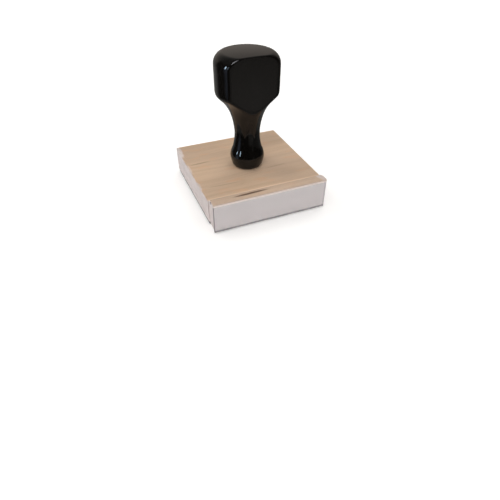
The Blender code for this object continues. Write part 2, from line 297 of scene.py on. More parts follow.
def prism(name, outline, axis, low, high, edge, step=2.0, swell=None, wander=0.0, seed=0.0):
    """A solid with one outline along an axis and eased ends.

    swell is a function of the share of the height that moves the sides outwards,
    and wander the size of the small unevenness of a cut or sanded surface.
    """
    levels = []
    quarter = [math.pi / 2 * k / EDGE_SEGMENTS for k in range(EDGE_SEGMENTS)]
    levels += [(low + edge * (1 - math.sin(a)), edge * (1 - math.cos(a))) for a in reversed(quarter)]
    levels = [(low, edge)] + levels
    middle = max(1, round((high - low - 2 * edge) / step))
    for k in range(1, middle):
        levels.append((low + edge + (high - low - 2 * edge) * k / middle, 0.0))
    levels += [(high - edge * (1 - math.sin(a)), edge * (1 - math.cos(a))) for a in quarter]
    levels.append((high, edge))
    order = {"X": (1, 2, 0), "Y": (0, 2, 1), "Z": (0, 1, 2)}[axis]
    rings = []
    for level, inset in levels:
        out = swell((level - low) / (high - low)) if swell else 0.0
        flat = inset_outline(outline, inset - out)
        ring = np.zeros((len(flat), 3))
        ring[:, order[0]], ring[:, order[1]], ring[:, order[2]] = flat[:, 0], flat[:, 1], level
        rings.append(ring)
    rings = np.array(rings)
    if wander:
        rings = np.clip(uneven(rings, wander, seed), rings.min((0, 1)), rings.max((0, 1)))
    return grid_object(name, rings)


def uneven(rings, size, seed):
    """Moves points by smooth noise, so that long edges aren't ruler-straight."""
    moved = rings.copy()
    for index in np.ndindex(rings.shape[:2]):
        at = Vector(rings[index]) / UNEVEN_GRAIN + Vector((seed, 2 * seed, 3 * seed))
        moved[index] += np.array(noise.noise_vector(at)) * size
    return moved


def around_axis(radii, heights, angles):
    """Rings about the handle's axis from radii and heights (ring, point)."""
    x = AXIS_X + radii * np.sin(angles)
    y = AXIS_Y - radii * np.cos(angles)
    return np.stack([x, y, np.broadcast_to(heights, x.shape)], axis=-1)


# ==============================================================================
# Materials
# ==============================================================================
def tone(red, green, blue):
    """A colour given as 0-255 display values, as linear RGBA."""
    linear = []
    for value in (red, green, blue):
        share = value / 255
        linear.append(share / 12.92 if share <= 0.04045 else ((share + 0.055) / 1.055) ** 2.4)
    return (*linear, 1.0)


class Finish:
    """A Principled material, with short calls that add nodes to it."""

    def __init__(self, name, **sockets):
        self.material = bpy.data.materials.new(name)
        self.material.use_nodes = True
        self.tree = self.material.node_tree
        self.shader = self.tree.nodes["Principled BSDF"]
        self.set(**sockets)
        self.place = self.add("ShaderNodeTexCoord").outputs["Object"]

    def set(self, **sockets):
        """Sets or links the shader's sockets; base_color stands for 'Base Color'."""
        for key, value in sockets.items():
            self.plug(value, self.shader.inputs[self.title(key)])

    @staticmethod
    def title(key):
        return {"ior": "IOR"}.get(key, key.replace("_", " ").title())

    def plug(self, value, socket):
        if isinstance(value, bpy.types.NodeSocket):
            self.tree.links.new(value, socket)
        else:
            socket.default_value = value

    def add(self, kind, inputs=None, **settings):
        node = self.tree.nodes.new(kind)
        for key, value in settings.items():
            setattr(node, key, value)
        for key, value in (inputs or {}).items():
            self.plug(value, node.inputs[key])
        return node

    def stretched(self, size, center=(0, 0, 0), turn=(0, 0, 0), vector=None):
        """Coordinates in which one unit is size (x, y, z) millimetres."""
        mapping = self.add(
            "ShaderNodeMapping", {"Vector": vector or self.place}, vector_type="TEXTURE",
        )
        mapping.inputs["Location"].default_value = [c * MM for c in center]
        mapping.inputs["Rotation"].default_value = [math.radians(t) for t in turn]
        mapping.inputs["Scale"].default_value = [s * MM for s in size]
        return mapping.outputs[0]

    def noise(self, size, detail=4.0, roughness=0.55, distortion=0.0, seed=0.0, vector=None):
        """Smooth noise from 0 to 1 whose features are size (x, y, z) millimetres."""
        shift = (seed * 1.7, seed * 2.3, seed * 3.1)
        node = self.add(
            "ShaderNodeTexNoise",
            {
                "Vector": self.stretched(size, center=shift, vector=vector), "Scale": 1.0,
                "Detail": detail, "Roughness": roughness, "Distortion": distortion,
            },
        )
        return node.outputs[0]

    def cells(self, size):
        """Distance to the nearest cell point, cells being size millimetres."""
        inputs = {"Vector": self.stretched((size,) * 3), "Scale": 1.0, "Randomness": 1.0}
        return self.add("ShaderNodeTexVoronoi", inputs).outputs["Distance"]

    def range(self, value, low, high, to_low=0.0, to_high=1.0):
        """Maps a value from low..high to another range, clamped, with eased ends."""
        node = self.add(
            "ShaderNodeMapRange",
            {"Value": value, "From Min": low, "From Max": high, "To Min": to_low, "To Max": to_high},
            interpolation_type="SMOOTHSTEP",
        )
        return node.outputs["Result"]

    def math(self, operation, first, second=0.0):
        node = self.add("ShaderNodeMath", operation=operation)
        self.plug(first, node.inputs[0])
        self.plug(second, node.inputs[1])
        return node.outputs[0]

    def mix(self, share, first, second):
        """Mixes two colours."""
        node = self.add("ShaderNodeMix", data_type="RGBA")
        self.plug(share, node.inputs[0])
        self.plug(first, node.inputs[6])
        self.plug(second, node.inputs[7])
        return node.outputs[2]

    def axis(self, name):
        """One object coordinate in millimetres."""
        split = self.add("ShaderNodeSeparateXYZ", {"Vector": self.place})
        return self.math("DIVIDE", split.outputs[name], MM)

    def facing(self, name):
        """One component of the surface's normal, in the object's own axes."""
        normal = self.add("ShaderNodeTexCoord").outputs["Normal"]
        return self.add("ShaderNodeSeparateXYZ", {"Vector": normal}).outputs[name]

    def spot(self, center, half_size, turn=(0, 0, 0)):
        """1 in the middle of an ellipsoid and 0 at its edge and outside."""
        vector = self.stretched(half_size, center=center, turn=turn)
        return self.add("ShaderNodeTexGradient", {"Vector": vector}, gradient_type="SPHERICAL").outputs[1]

    def bump(self, height, distance, strength=1.0, normal=None):
        """Relief of distance millimetres; calls can be chained through normal."""
        inputs = {"Height": height, "Distance": distance * MM, "Strength": strength}
        if normal:
            inputs["Normal"] = normal
        return self.add("ShaderNodeBump", inputs).outputs[0]


WOOD_LIGHT = tone(216, 187, 159)
WOOD_MEAN = tone(203, 174, 147)
WOOD_DARK = tone(178, 150, 125)
WOOD_WARM = tone(219, 176, 141)
WOOD_STREAK = tone(96, 72, 54)
PAINT = tone(229, 218, 216)
PAINT_SHADE = tone(218, 207, 205)


def maple(finish, seed, warmth=0.0):
    """Colour, roughness and relief of bare planed maple with its grain along X."""
    bend = finish.noise((60, 22, 22), detail=1, seed=seed + 5)
    bent = finish.add("ShaderNodeVectorMath", {0: finish.place}, operation="ADD")
    offset = finish.add(
        "ShaderNodeCombineXYZ", {"Y": finish.math("MULTIPLY", finish.math("SUBTRACT", bend, 0.5), 6 * MM)},
    )
    finish.tree.links.new(offset.outputs[0], bent.inputs[1])
    bent = bent.outputs[0]
    bands = finish.noise((150, 4.2, 5.0), detail=3, roughness=0.5, seed=seed, vector=bent)
    lines = finish.noise((60, 1.0, 1.4), detail=3, roughness=0.6, seed=seed + 1, vector=bent)
    fibre = finish.noise((7, 0.16, 0.22), detail=2, roughness=0.7, seed=seed + 2, vector=bent)
    drift = finish.noise((60, 34, 30), detail=1, seed=seed + 3)
    flecks = finish.noise((1.6, 0.22, 0.3), detail=1, seed=seed + 4, vector=bent)
    blush = finish.noise((16, 6, 6), detail=2, seed=seed + 6)

    color = finish.mix(finish.range(bands, 0.34, 0.68), WOOD_LIGHT, WOOD_MEAN)
    color = finish.mix(finish.range(lines, 0.50, 0.80, 0.0, 0.30), color, WOOD_DARK)
    color = finish.mix(finish.range(drift, 0.35, 0.7, 0.0, 0.45), color, tone(196, 171, 150))
    color = finish.mix(finish.range(blush, 0.52, 0.75, 0.0, 0.55), color, WOOD_WARM)
    color = finish.mix(finish.range(fibre, 0.35, 0.75, 0.0, 0.20), color, WOOD_DARK)
    color = finish.mix(finish.range(flecks, 0.66, 0.78, 0.0, 0.30), color, tone(150, 122, 98))
    if warmth:
        color = finish.mix(warmth, color, tone(206, 183, 165))
    rough = finish.range(fibre, 0.3, 0.7, 0.50, 0.66)
    relief = finish.bump(fibre, 0.05, 0.5)
    relief = finish.bump(lines, 0.06, 0.4, relief)
    return color, rough, relief


def white_paint(finish, seed):
    """Colour of thin matte white paint over sanded wood."""
    cloud = finish.noise((9, 9, 5), detail=3, seed=seed)
    grain = finish.noise((16, 16, 0.7), detail=3, roughness=0.6, seed=seed + 1)
    color = finish.mix(finish.range(cloud, 0.35, 0.7), PAINT, PAINT_SHADE)
    return finish.mix(finish.range(grain, 0.55, 0.8, 0.0, 0.45), color, tone(206, 194, 188))


def painted_wood(name, seed, node, top, marks=(), smears=(), hole_shades=(), warmth=0.0, arris_highlight=0.0):
    """Bare maple above, white paint on the sides, worn thin towards the top arris.

    marks are dark streaks in the wood, smears are places where the paint has run
    onto the top, hole_shades are pin holes darkened with painted shade, and
    arris_highlight is a painted highlight along the front arris.
    """
    finish = Finish(name, ior=1.45)
    low, high = node_box(node)
    wood, wood_rough, wood_relief = maple(finish, seed, warmth)
    for center, half_size, turn, strength in marks:
        ragged = finish.noise((5.0, 0.35, 0.6), detail=3, roughness=0.7, seed=seed + 9)
        mark = finish.spot(center, half_size, turn)
        mark = finish.math("MULTIPLY", finish.range(mark, 0.03, 0.50), finish.range(ragged, 0.22, 0.5))
        wood = finish.mix(finish.math("MULTIPLY", mark, strength), wood, WOOD_STREAK)
    front = finish.math("SUBTRACT", finish.axis("Y"), low[1])
    # painted highlight: the wood is lightened along the front arris, where it would catch the light
    if arris_highlight:
        wood = finish.mix(finish.range(front, 0.35, 0.85, arris_highlight, 0.0), wood, tone(238, 208, 180))
    paint = white_paint(finish, seed + 20)
    # the paint darkens within half a millimetre of the piece's bottom edge
    above = finish.math("SUBTRACT", finish.axis("Z"), low[2])
    paint = finish.mix(finish.range(above, 0.1, 0.5, 0.25, 0.0), paint, tone(140, 130, 130))

    up = finish.range(finish.facing("Z"), 0.35, 0.75)
    below = finish.math("SUBTRACT", top, finish.axis("Z"))
    ragged = finish.noise((2.6, 2.6, 1.3), detail=4, roughness=0.65, seed=seed + 30)
    reach = finish.range(ragged, 0.30, 0.74, 0.3, 3.2)
    worn = finish.range(finish.math("DIVIDE", below, reach), 0.25, 1.0, 0.55, 0.0)
    rubbed = finish.range(below, 0.0, 0.55, 0.6, 0.0)
    bare = finish.math("MAXIMUM", up, finish.math("MAXIMUM", worn, rubbed))
    for center, half_size, strength in smears:
        smear = finish.math("ADD", finish.spot(center, half_size), finish.math("MULTIPLY", ragged, 0.5))
        bare = finish.math("MINIMUM", bare, finish.range(smear, 0.45, 0.75, 1.0, 1.0 - strength))
    color = finish.mix(bare, paint, wood)
    # painted shade: dark spots in and around the pin holes, where shade falls
    for center, half_size in hole_shades:
        hole = finish.range(finish.spot(center, half_size), 0.15, 0.45)
        color = finish.mix(hole, color, tone(66, 54, 52))
    finish.set(
        base_color=color,
        roughness=finish.math("ADD", finish.math("MULTIPLY", wood_rough, 0.7), 0.18),
        normal=finish.bump(finish.math("MULTIPLY", bare, -1.0), 0.03, 0.4, wood_relief),
    )
    return finish.material


def black_plastic():
    """Moulded and polished black plastic, with faint waviness, haze and hairlines."""
    finish = Finish("black_plastic", ior=1.37)
    haze = finish.noise((16, 16, 22), detail=5, roughness=0.6, seed=3)
    smear = finish.noise((4, 4, 11), detail=4, roughness=0.7, distortion=0.6, seed=8)
    wave = finish.noise((7, 7, 9), detail=1, seed=12)
    hair = finish.noise((0.35, 6.0, 6.0), detail=2, roughness=0.8, distortion=1.5, seed=17)
    scratch = finish.range(hair, 0.72, 0.76, 0.0, 1.0)
    color = finish.mix(finish.range(haze, 0.3, 0.75), tone(10, 9, 8), tone(15, 13, 12))
    rough = finish.range(smear, 0.4, 0.75, 0.05, 0.10)
    rough = finish.math("ADD", rough, finish.math("MULTIPLY", scratch, 0.10))
    relief = finish.bump(wave, 0.05, 0.35)
    relief = finish.bump(scratch, 0.003, -0.3, relief)
    finish.set(base_color=color, roughness=rough, normal=relief)
    return finish.material


def card_stock():
    """Thick white card: smooth face, painted shade darker towards the top, a painted
    highlight along the top edge, darker lines near both ends, painted shade along the foot.
    """
    finish = Finish("white_card", ior=1.45)
    low, high = node_box("index_card")
    cloud = finish.noise((12, 12, 6), detail=3, seed=40)
    fibre = finish.noise((0.9, 0.3, 0.35), detail=3, roughness=0.7, seed=41)
    foot_shade_noise = finish.noise((9, 9, 1.5), detail=3, seed=42)
    color = finish.mix(finish.range(cloud, 0.35, 0.7), tone(230, 220, 219), tone(223, 213, 212))
    color = finish.mix(finish.range(fibre, 0.45, 0.8, 0.0, 0.25), color, tone(208, 198, 197))
    x, z = finish.axis("X"), finish.axis("Z")
    # painted shade: the card darkens towards the top
    color = finish.mix(finish.range(z, 3.0, 17.0, 0.0, 0.6), color, tone(214, 205, 204))
    # dark colour for the lines near both ends and for the painted shade along the foot
    dark_line_and_shade = tone(60, 52, 52)
    # a greyer band and a dark line near the right end, and a dark line along the left edge
    right = finish.math("SUBTRACT", high[0], x)
    color = finish.mix(finish.range(right, 0.9, 1.2, 0.35, 0.0), color, tone(186, 182, 190))
    line = finish.math("ABSOLUTE", finish.math("SUBTRACT", right, 1.15))
    color = finish.mix(finish.range(line, 0.1, 0.35, 0.35, 0.0), color, dark_line_and_shade)
    left = finish.math("SUBTRACT", x, low[0])
    color = finish.mix(finish.range(left, 0.15, 0.6, 0.75, 0.0), color, dark_line_and_shade)
    # painted shade: a dark band along the card's foot, where the shadow under the card falls, broken up by
    # noise
    foot_shade_breakup = finish.range(foot_shade_noise, 0.3, 0.7, 0.65, 0.95)
    base = finish.range(finish.math("SUBTRACT", z, low[2]), 0.95, 1.6, 1.0, 0.0)
    color = finish.mix(finish.math("MULTIPLY", base, foot_shade_breakup), color, dark_line_and_shade)
    # painted highlight: the card lightens towards its top edge, where the light falls
    color = finish.mix(
        finish.range(finish.math("SUBTRACT", high[2], z), 0.2, 0.7, 0.7, 0.0), color, tone(250, 236, 228),
    )
    finish.set(base_color=color, roughness=finish.range(fibre, 0.3, 0.7, 0.42, 0.55))
    finish.set(normal=finish.bump(fibre, 0.02, 0.4))
    return finish.material


def clear_film(name, alpha, roughness, tint):
    """Thin clear or translucent plastic with slight ripples."""
    finish = Finish(name, base_color=tint, alpha=alpha, ior=1.45)
    ripple = finish.noise((14, 14, 9), detail=2, seed=50)
    speck = finish.noise((0.6, 0.6, 0.6), detail=2, seed=51)
    finish.set(
        base_color=finish.mix(finish.range(speck, 0.4, 0.8, 0.0, 0.3), tint, tone(235, 232, 226)),
        roughness=finish.range(speck, 0.4, 0.75, roughness, roughness + 0.08),
        normal=finish.bump(ripple, 0.04, 0.5),
    )
    return finish.material


def foam():
    """White closed-cell foam with its cut cells showing on the sides, their pits darkened with painted
    shade.
    """
    finish = Finish("white_foam", ior=1.4)
    cell = finish.cells(0.32)
    pit = finish.range(cell, 0.15, 0.55)
    cloud = finish.noise((6, 6, 3), detail=2, seed=60)
    color = finish.mix(finish.range(cloud, 0.35, 0.7), tone(228, 217, 215), tone(217, 206, 204))
    # painted shade: darker at the bottoms of the cell pits
    pit_shade = finish.math("MULTIPLY", finish.range(cell, 0.0, 0.2, 1.0, 0.0), 0.35)
    color = finish.mix(pit_shade, color, tone(176, 168, 164))
    finish.set(base_color=color, roughness=finish.range(cell, 0.0, 0.6, 0.78, 0.95))
    finish.set(normal=finish.bump(pit, 0.10, 0.6))
    return finish.material


def rubber(raised_height):
    """Dark engraved rubber: matte rastered floor, smoother raised printing surface."""
    finish = Finish("die_rubber", ior=1.5)
    dust = finish.noise((1.2, 1.2, 1.2), detail=4, roughness=0.7, seed=70)
    blotch = finish.noise((11, 11, 4), detail=2, seed=71)
    lines = finish.stretched((1, RASTER_PITCH * WAVE_PERIOD, 1))
    raster = finish.add(
        "ShaderNodeTexWave", {"Vector": lines, "Scale": 1.0, "Distortion": 0.4}, bands_direction="Y",
    ).outputs[1]
    printing = finish.range(finish.axis("Z"), raised_height * 0.15, raised_height * 0.45, 1.0, 0.0)
    color = finish.mix(finish.range(blotch, 0.35, 0.7), tone(58, 57, 60), tone(48, 47, 50))
    color = finish.mix(finish.range(dust, 0.55, 0.85, 0.0, 0.5), color, tone(92, 90, 92))
    color = finish.mix(printing, color, tone(36, 35, 38))
    rough = finish.range(dust, 0.3, 0.8, 0.70, 0.88)
    rough = finish.math("SUBTRACT", rough, finish.math("MULTIPLY", printing, 0.25))
    finish.set(base_color=color, roughness=rough)
    relief = finish.bump(raster, 0.03, 0.35)
    finish.set(normal=finish.bump(dust, 0.03, 0.5, relief))
    return finish.material


def metal(name, bright, dull, low_rough, high_rough, seed):
    """Cut and plated metal with fine turning lines, handling marks and tarnish."""
    finish = Finish(name, metallic=1.0)
    tarnish = finish.noise((3, 3, 4), detail=4, roughness=0.65, seed=seed)
    lines = finish.noise((1.6, 1.6, 0.07), detail=2, seed=seed + 1)
    finish.set(
        base_color=finish.mix(finish.range(tarnish, 0.4, 0.72), bright, dull),
        roughness=finish.range(tarnish, 0.3, 0.75, low_rough, high_rough),
        normal=finish.bump(lines, 0.02, 0.4),
    )
    return finish.material


def floor_paper():
    """Matte pale studio paper."""
    finish = Finish("studio_paper", ior=1.3)
    cloud = finish.noise((300, 300, 300), detail=2, seed=80)
    tooth = finish.noise((1.0, 1.0, 1.0), detail=2, seed=81)
    apart = finish.add("ShaderNodeVectorMath", {0: finish.place}, operation="LENGTH").outputs["Value"]
    finish.set(
        base_color=finish.mix(finish.range(cloud, 0.3, 0.7), tone(253, 253, 253), tone(251, 251, 251)),
        roughness=0.9, emission_color=(1.0, 1.0, 1.0, 1.0), normal=finish.bump(tooth, 0.02, 0.3),
        emission_strength=finish.range(apart, 0.25, 1.4, 0.22, 0.85),   # paler far from the lamps
    )
    return finish.material


# ==============================================================================
# Pieces
# ==============================================================================
def finish_piece(obj, material, body, nodes):
    """Gives a piece its material and its body, and hides the CAD nodes that it stands for."""
    obj.data.materials.clear()
    obj.data.materials.append(material)
    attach(obj, body)
    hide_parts(*nodes)
    return obj


def flat_cut(angles, radius, normal_out):
    """Radius of the grip towards each angle: the turning, the flat, and a fillet.

    radius is the turning's, and normal_out the radial share of its normal. The
    fillet keeps the distances to both surfaces on a circle of FLAT_FILLET.
    """
    toward = np.cos(angles)
    result = np.full_like(angles, radius)
    front = toward > FRONT_SHARE
    facing = toward[front]
    f, d, n = FLAT_FILLET, FLAT_DEPTH, max(normal_out, 1e-3)
    a = n * n + facing * facing
    b = 2 * (n * (f - n * radius) + facing * (f - d))
    c = (f - n * radius) ** 2 + (f - d) ** 2 - f * f
    blended = (-b + np.sqrt(np.maximum(b * b - 4 * a * c, 0))) / (2 * a)
    straight = d / facing
    only_turning = radius * facing - d <= -f
    only_flat = n * (straight - radius) <= -f
    cut = np.where(only_turning, radius, np.where(only_flat, straight, blended))
    result[front] = np.minimum(cut, radius)
    return result


def knob_outline():
    """The turning's outline: foot, waist and drum, then round shoulder and crown."""
    drum = TURNING[-1][1]
    points = list(TURNING)
    for turn in np.linspace(0, math.pi / 2, 9):
        height = TOP_HEIGHT - TOP_ROUND * (1 - math.sin(turn))
        points.append((height, drum - TOP_ROUND * (1 - math.cos(turn))))
    for share in (0.75, 0.5, 0.25, 0.0):
        crown = TOP_CROWN * (1 - share ** 2)
        points.append((TOP_HEIGHT + crown, (drum - TOP_ROUND) * share))
    return smooth_curve(points, PROFILE_STEP)


def make_knob():
    """The handle: turned grip with its front flat, hollowed foot and blind hole."""
    foot = node_box("handle")[0][2]
    outline = knob_outline()
    angles = np.arange(AROUND) / AROUND * 2 * math.pi
    slope = np.gradient(outline, axis=0)
    slope /= np.linalg.norm(slope, axis=1)[:, None]
    hole = (node_box("handle_insert")[1][0] - node_box("handle_insert")[0][0]) / 2 + 0.3
    bore = ((17.5, AXIS_HOLE), (16.0, hole), (8.0, hole), (0.6, hole), (0.15, hole + 0.4))
    recess = (
        (FOOT_RECESS, hole + 0.7), (FOOT_RECESS, FOOT_RIM - 0.6), (0.1, FOOT_RIM), (0.0, FOOT_RIM + 0.5),
    )
    rings = []
    for height, radius in bore + recess:
        rings.append(around_axis(np.full(AROUND, radius), foot + height, angles))
    for (height, radius), (rise, _) in zip(outline, slope):
        cut = flat_cut(angles, radius, abs(rise))
        rings.append(around_axis(np.maximum(cut, AXIS_HOLE), foot + height, angles))
    knob = grid_object("knob", rings)
    return finish_piece(knob, black_plastic(), "handle", ["handle"])


def thread_radii(heights, angles, crest, depth, start, end, taper=1.0):
    """Radii (ring, point) of a right-handed V thread between two heights."""
    turn = heights[:, None] / PITCH - angles[None, :] / (2 * math.pi)
    wave = np.abs((turn % 1.0) * 2 - 1)
    tooth = np.clip((wave - 0.14) / 0.72, 0, 1)
    fade = np.clip((heights - start) / taper, 0, 1) * np.clip((end - heights) / taper, 0, 1)
    return crest - depth * (1 - tooth) * fade[:, None] ** 0.5


def make_stud():
    """The hanger bolt: wood screw, collar and machine thread with a chamfered end."""
    low, high = node_box("hanger_bolt")
    wood_top = node_box("mount_block")[1][2]
    angles = -np.arange(THREAD_STEPS) / THREAD_STEPS * 2 * math.pi
    step = PITCH / THREAD_ROWS
    upper = np.arange(wood_top - 0.2, high[2], step)
    lower = np.arange(low[2] + 1.8, wood_top - 2.2, 2 * step)
    rings = [around_axis(np.full(THREAD_STEPS, 0.4), low[2], angles)]
    coarse = lower * SCREW_STRETCH
    screw = thread_radii(coarse, angles, SCREW_RADIUS, SCREW_DEPTH, coarse[0], coarse[-1], 0.6)
    rings += [around_axis(r, z, angles) for r, z in zip(screw, lower)]
    collar = ((SCREW_RADIUS, 2.0), (COLLAR_RADIUS, 1.9), (COLLAR_RADIUS, 0.5), (3.2, 0.3))
    for radius, depth in collar:
        rings.append(around_axis(np.full(THREAD_STEPS, radius), wood_top - depth, angles))
    radii = thread_radii(upper, angles, STUD_RADIUS, THREAD_DEPTH, upper[0], high[2] + 1)
    chamfer = STUD_RADIUS - np.clip(upper - (high[2] - 0.7), 0, None)
    radii = np.minimum(radii, chamfer[:, None])
    rings += [around_axis(r, z, angles) for r, z in zip(radii, upper)]
    rings.append(around_axis(np.full(THREAD_STEPS, STUD_RADIUS - 0.75), high[2], angles))
    stud = grid_object("stud", rings, shade_angle=50)
    zinc = metal("zinc_steel", tone(205, 205, 202), tone(176, 174, 166), 0.22, 0.42, 90)
    return finish_piece(stud, zinc, "mount", ["hanger_bolt"])


def make_insert():
    """The brass insert: knurled bands outside, thread inside."""
    low, high = node_box("handle_insert")
    outer = (high[0] - low[0]) / 2
    around = THREAD_STEPS * 3
    angles = -np.arange(around) / around * 2 * math.pi
    step = PITCH / THREAD_ROWS
    inner_heights = np.arange(low[2] + 0.1, high[2] - 0.1, step)
    bore = STUD_RADIUS + THREAD_GAP
    ends = inner_heights[0] - 1, inner_heights[-1] + 1
    inner = thread_radii(inner_heights, angles, bore + 0.5, 0.5, *ends)
    rings = [around_axis(r, z, angles) for r, z in zip(inner, inner_heights)]
    middle = (low[2] + high[2]) / 2
    knurl = (1 - np.abs(((np.arange(around) / 4) % 1) * 2 - 1)) * 0.28
    for height in np.linspace(high[2], low[2], 28):
        waist = abs(height - middle) < 0.9
        rim = min(height - low[2], high[2] - height) < 0.5
        radius = outer - 0.55 if waist else outer - 0.25
        ridges = 0.0 if waist or rim else knurl
        rings.append(around_axis(np.full(around, radius) + ridges - 0.03, height, angles))
    insert = grid_object("threaded_insert", rings, close_rings=True, shade_angle=40)
    brass = metal("brass", tone(214, 178, 104), tone(168, 132, 70), 0.2, 0.42, 95)
    return finish_piece(insert, brass, "insert", ["handle_insert"])


def make_block():
    """The maple block with eased arrises and its pilot hole."""
    low, high = node_box("mount_block")
    outline = rounded_rectangle(low, high, BLOCK_CORNER, WOOD_STEP)
    block = prism(
        "wood_block", outline, "Z", low[2], high[2], BLOCK_EDGE, step=1.6, wander=0.05, seed=1.3,
    )
    angles = np.arange(PILOT_POINTS) / PILOT_POINTS * 2 * math.pi
    steps = (
        (-12.0, 0.5), (-11.0, PILOT_RADIUS), (-2.3, PILOT_RADIUS), (-2.2, PILOT_MOUTH), (1, PILOT_MOUTH),
    )
    rings = [around_axis(np.full(PILOT_POINTS, r), high[2] + z, angles) for z, r in steps]
    drill = grid_object("pilot", rings)
    join_solids(block, drill, "DIFFERENCE")
    shade(block)
    marks = (
        ((-29.6, 13.0, high[2]), (9.0, 0.9, 2.0), (0, 0, 3), 0.35),
        ((-23.6, -18.0, high[2]), (13.0, 0.8, 2.0), (0, 0, -2), 0.22),
        ((16.4, -9.0, high[2]), (10.0, 0.7, 2.0), (0, 0, 4), 0.20),
        ((6.0, -20.0, high[2]), (30.0, 12.0, 4.0), (0, 0, 0), 0.10),
        ((26.0, 26.0, high[2]), (22.0, 14.0, 4.0), (0, 0, 0), 0.10),
    )
    smears = (
        ((low[0], high[1] - 6.0, high[2]), (3.6, 15.0, 4.0), 0.8),
        ((low[0], 8.0, high[2]), (1.7, 9.0, 4.0), 0.6),
        ((low[0], -14.0, high[2]), (1.5, 8.0, 4.0), 0.6),
    )
    # the block's front arris gets a painted highlight
    paint = painted_wood("painted_maple_block", 2.0, "mount_block", high[2], marks, smears, arris_highlight=0.6)
    return finish_piece(block, paint, "mount", ["mount_block"])


def rail_outline(low, high):
    """Section of the rail in Y and Z, with one arc over the top."""
    front, back, bottom, crest = low[1], high[1], low[2], high[2]
    crest_y = front + RAIL_CREST_IN
    reach, drop = back - crest_y, crest - RAIL_BACK_TOP
    radius = (reach ** 2 + drop ** 2) / (2 * drop)
    start, end = math.asin(reach / radius), math.asin((front - crest_y) / radius)
    corners = [(front, bottom, 0.3), (back, bottom, 0.3)]
    for k in range(RAIL_ARC_STEPS + 1):
        turn = start + (end - start) * k / RAIL_ARC_STEPS
        y, z = crest_y + radius * math.sin(turn), crest - radius * (1 - math.cos(turn))
        corners.append((y, z, {0: 0.45, RAIL_ARC_STEPS: 0.8}.get(k, 0)))
    return corners


def make_rail():
    """The front rail: rounded top, eased ends and a pin hole in its left end."""
    low, high = node_box("front_rail")
    high = high + (0.0, GLUE_GAP, 0.0)
    corners = rail_outline(low, high)
    crowded = (3, RAIL_ARC_STEPS + 1)       # too near the rounded corners beside them
    kept = [c for k, c in enumerate(corners) if k not in crowded]
    outline = fillet_outline(kept, 1.2)
    rail = prism(
        "rail", outline, "X", low[0], high[0], RAIL_EASE, step=WOOD_STEP, wander=0.04, seed=4.1,
    )
    pin = (low[0], *PIN_PLACE)
    angles = np.arange(PIN_POINTS) / PIN_POINTS * 2 * math.pi
    rings = []
    for depth, radius in ((-1.0, 0.75), (0.9, 0.6), (1.5, 0.05)):
        y, z = pin[1] + radius * np.cos(angles), pin[2] + radius * np.sin(angles)
        rings.append(np.stack([np.full(PIN_POINTS, pin[0] + depth), y, z], 1))
    join_solids(rail, grid_object("pin", rings), "DIFFERENCE")
    shade(rail)
    marks = (
        ((-12.1, -35.4, high[2] - 0.1), (14.5, 1.3, 2.5), (0, 0, 1.5), 1.0),
    )
    smears = (((high[0], -34.0, high[2] - 1.0), (7.0, 9.0, 5.0), 0.7),)
    # painted shade around the pin hole
    hole_shades = ((pin, (2.0, 1.3, 1.3)),)
    paint = painted_wood(
        "painted_maple_rail", 7.0, "front_rail", high[2] - 0.6, marks, smears, hole_shades, warmth=0.5,
    )
    return finish_piece(rail, paint, "mount", ["front_rail"])


def upright_sheet(name, node, corner, edge, wander=0.0):
    """A thin sheet standing across Y, with its outline in X and Z."""
    low, high = node_box(node)
    outline = rounded_rectangle(low[[0, 2]], high[[0, 2]], corner, SHEET_STEP)
    return prism(name, outline, "Y", low[1], high[1], edge, wander=wander, seed=6.0)


def flat_sheet(name, node, corner, edge, step=SHEET_STEP, wander=0.0, swell=None, level_step=2.0):
    """A thin sheet lying across Z, with its outline in X and Y."""
    low, high = node_box(node)
    outline = rounded_rectangle(low, high, corner, step)
    return prism(name, outline, "Z", low[2], high[2], edge, level_step, swell, wander, seed=9.0)


def make_front():
    """Index card on the rail's face, and its clear cover film."""
    card = upright_sheet("card", "index_card", 0.2, 0.1, wander=0.03)
    finish_piece(card, card_stock(), "mount", ["index_card"])
    cover = upright_sheet("card_cover", "index_cover_film", 0.3, 0.04)
    film = clear_film("clear_film", 0.16, 0.12, tone(246, 246, 250))
    finish_piece(cover, film, "mount", ["index_cover_film"])


def make_layers():
    """Adhesive films and the foam cushion between wood and rubber."""
    for name, node, body in (("upper_film", "mount_film", "mount"), ("lower_film", "die_film", "die")):
        film = flat_sheet(name, node, 0.6, 0.03)
        tape = clear_film(f"adhesive_{name}", 0.85, 0.35, tone(222, 214, 190))
        finish_piece(film, tape, body, [node])

    def crown(share):
        return FOAM_CROWN * math.sin(math.pi * share) - FOAM_CROWN

    cushion = flat_sheet("cushion", "foam_cushion", 0.9, 0.25, 1.4, 0.07, crown, 0.3)
    finish_piece(cushion, foam(), "mount", ["foam_cushion"])
    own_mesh(cushion)


def tapered(name, inner_outline, spread, low, high):
    """Raised rubber: narrow printing face below, wider root above."""
    levels = (
        (low, -RUBBER_EDGE), (low + RUBBER_EDGE, 0.0),
        (low + 0.55 * (high - low), spread * 0.35), (high, spread),
    )
    rings = []
    for level, out in levels:
        flat = inset_outline(inner_outline, -out)
        rings.append(np.column_stack([flat, np.full(len(flat), level)]))
    return grid_object(name, rings)


